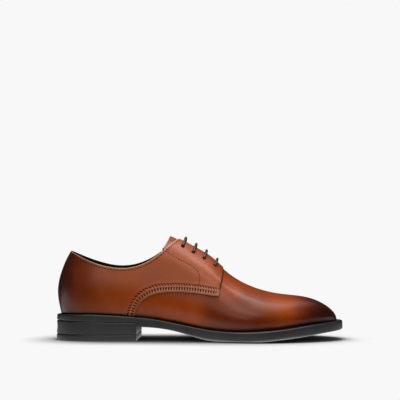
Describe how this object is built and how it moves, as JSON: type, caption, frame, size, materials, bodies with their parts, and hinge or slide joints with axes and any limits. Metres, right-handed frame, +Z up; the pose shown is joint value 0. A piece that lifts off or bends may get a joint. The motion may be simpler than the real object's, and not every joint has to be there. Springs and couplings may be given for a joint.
{
  "type": "derby shoe",
  "caption": "Plain-toe derby shoe for the right foot, burnished tan calf with open lacing, arched rubber sole and low stacked heel.",
  "frame": {"origin": "on the ground under the middle of the shoe's box", "axes": "+X from the heel to the toe, +Y towards the inner side of the foot, +Z up"},
  "size_m": [0.305, 0.1068, 0.1102],
  "materials": {
    "vamp_calf": "burnished tan calf, polished",
    "quarter_calf": "burnished tan calf, polished",
    "tongue_calf": "tan calf",
    "sock_leather": "natural leather sock",
    "sole_rubber": "satin dark grey",
    "heel_rubber": "matt dark grey",
    "waxed_lace": "round waxed cotton, dark brown"
  },
  "bodies": {
    "root": {"upper": "vamp_calf", "quarter_lateral": "quarter_calf", "quarter_medial": "quarter_calf", "tongue": "tongue_calf", "insole": "sock_leather", "outsole": "sole_rubber", "heel_block": "sole_rubber", "heel_top_piece": "heel_rubber", "lace_bar_1": "waxed_lace", "lace_bar_2": "waxed_lace", "lace_bar_3": "waxed_lace", "lace_bar_4": "waxed_lace"}
  },
  "joints": []
}
